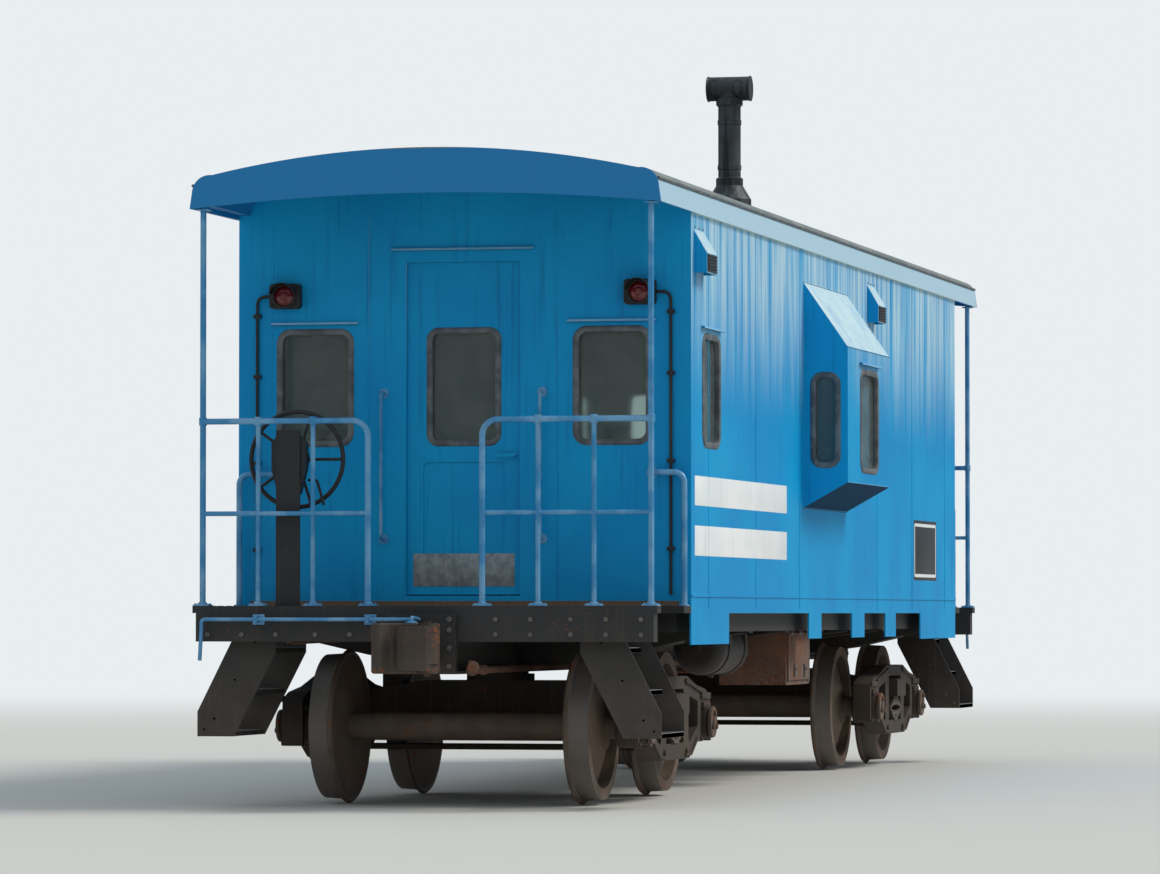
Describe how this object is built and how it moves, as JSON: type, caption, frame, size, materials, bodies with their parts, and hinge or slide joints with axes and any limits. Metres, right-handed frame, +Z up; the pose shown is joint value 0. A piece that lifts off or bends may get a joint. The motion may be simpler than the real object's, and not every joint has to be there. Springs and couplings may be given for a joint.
{
  "type": "bay window caboose",
  "caption": "All-steel bay window caboose with open end platforms, steps and railings, hinged end doors and four-wheel trucks that swivel on turning wheelsets.",
  "frame": {"origin": "middle of the car at the lowest point of the wheel flanges, 25 mm below the rail top", "axes": "+X along the car towards end a, which has no hand brake; +Y to the left side; +Z up"},
  "size_m": [11.919, 3.25, 4.425],
  "materials": {
    "blue_paint": "weathered gloss",
    "roof_paint": "weathered matt",
    "black_frame": "dusty matt",
    "floor_boards": "worn",
    "rail_paint": "gloss",
    "glass": "smooth",
    "red_lens": "fluted lens",
    "stack_steel": "sooty",
    "cast_steel": "rusted casting",
    "rusty_steel": "rusted",
    "truck_steel": "dusty casting",
    "spring_steel": "rusted leaves",
    "wheel_steel": "rust with a worn tread",
    "stove_iron": "blackened",
    "inside_paint": "satin",
    "seat_vinyl": "worn vinyl",
    "white_paint": "dulled gloss",
    "rubber": "bloomed",
    "step_grating": "galvanised"
  },
  "bodies": {
    "carbody": {"air_reservoir": "black_frame", "bay_left": "blue_paint", "bay_right": "blue_paint", "brake_cylinder": "black_frame", "brake_wheel": "black_frame", "bunk_mattresses": "seat_vinyl", "bunks": "inside_paint", "corner_handrails": "rail_paint", "coupler_a": "cast_steel", "coupler_b": "cast_steel", "desk": "inside_paint", "end_wall_a": "blue_paint", "end_wall_b": "blue_paint", "floor": "floor_boards", "hand_brake": "black_frame", "knuckle_a": "cast_steel", "knuckle_b": "cast_steel", "locker": "inside_paint", "marker_lamps": "black_frame", "marker_lenses": "red_lens", "pipe_clamps": "rusty_steel", "platform_a": "black_frame", "platform_b": "black_frame", "railing_a": "rail_paint", "railing_b": "rail_paint", "roof": "roof_paint", "seat_bases": "inside_paint", "seat_cushions": "seat_vinyl", "side_wall_left": "blue_paint", "side_wall_right": "blue_paint", "stack": "stack_steel", "steps_a": "black_frame", "steps_b": "black_frame", "stove": "stove_iron", "tool_box": "rusty_steel", "train_pipe": "rusty_steel", "underframe": "black_frame", "vent_hoods": "blue_paint", "window_glass": "glass"},
    "truck_a": {"truck_frame_a": "truck_steel", "bolster_a": "truck_steel", "springs_a": "spring_steel", "brake_beams_a": "truck_steel"},
    "truck_b": {"truck_frame_b": "truck_steel", "bolster_b": "truck_steel", "springs_b": "spring_steel", "brake_beams_b": "truck_steel"},
    "door_a": {"door_a": "blue_paint", "door_glass_a": "glass"},
    "door_b": {"door_b": "blue_paint", "door_glass_b": "glass"},
    "wheelset_1": {"wheelset_1": "wheel_steel"},
    "wheelset_2": {"wheelset_2": "wheel_steel"},
    "wheelset_3": {"wheelset_3": "wheel_steel"},
    "wheelset_4": {"wheelset_4": "wheel_steel"}
  },
  "joints": [
    {"name": "truck_a_swivel", "type": "hinge", "parent": "carbody", "child": "truck_a", "pos_m": [3.7, 0, 0.715], "axis": [0, 0, 1], "range_deg": [-4, 4]},
    {"name": "door_a_hinge", "type": "hinge", "parent": "carbody", "child": "door_a", "pos_m": [4.518, -0.357, 2.1], "axis": [0, 0, 1], "range_deg": [0, 95]},
    {"name": "truck_b_swivel", "type": "hinge", "parent": "carbody", "child": "truck_b", "pos_m": [-3.7, 0, 0.715], "axis": [0, 0, 1], "range_deg": [-4, 4]},
    {"name": "door_b_hinge", "type": "hinge", "parent": "carbody", "child": "door_b", "pos_m": [-4.518, 0.357, 2.1], "axis": [0, 0, 1], "range_deg": [0, 95]},
    {"name": "wheelset_1_spin", "type": "hinge", "parent": "truck_b", "child": "wheelset_1", "pos_m": [-4.538, 0, 0.444], "axis": [0, 1, 0], "continuous": true},
    {"name": "wheelset_2_spin", "type": "hinge", "parent": "truck_b", "child": "wheelset_2", "pos_m": [-2.862, 0, 0.444], "axis": [0, 1, 0], "continuous": true},
    {"name": "wheelset_3_spin", "type": "hinge", "parent": "truck_a", "child": "wheelset_3", "pos_m": [2.862, 0, 0.444], "axis": [0, 1, 0], "continuous": true},
    {"name": "wheelset_4_spin", "type": "hinge", "parent": "truck_a", "child": "wheelset_4", "pos_m": [4.538, 0, 0.444], "axis": [0, 1, 0], "continuous": true}
  ]
}
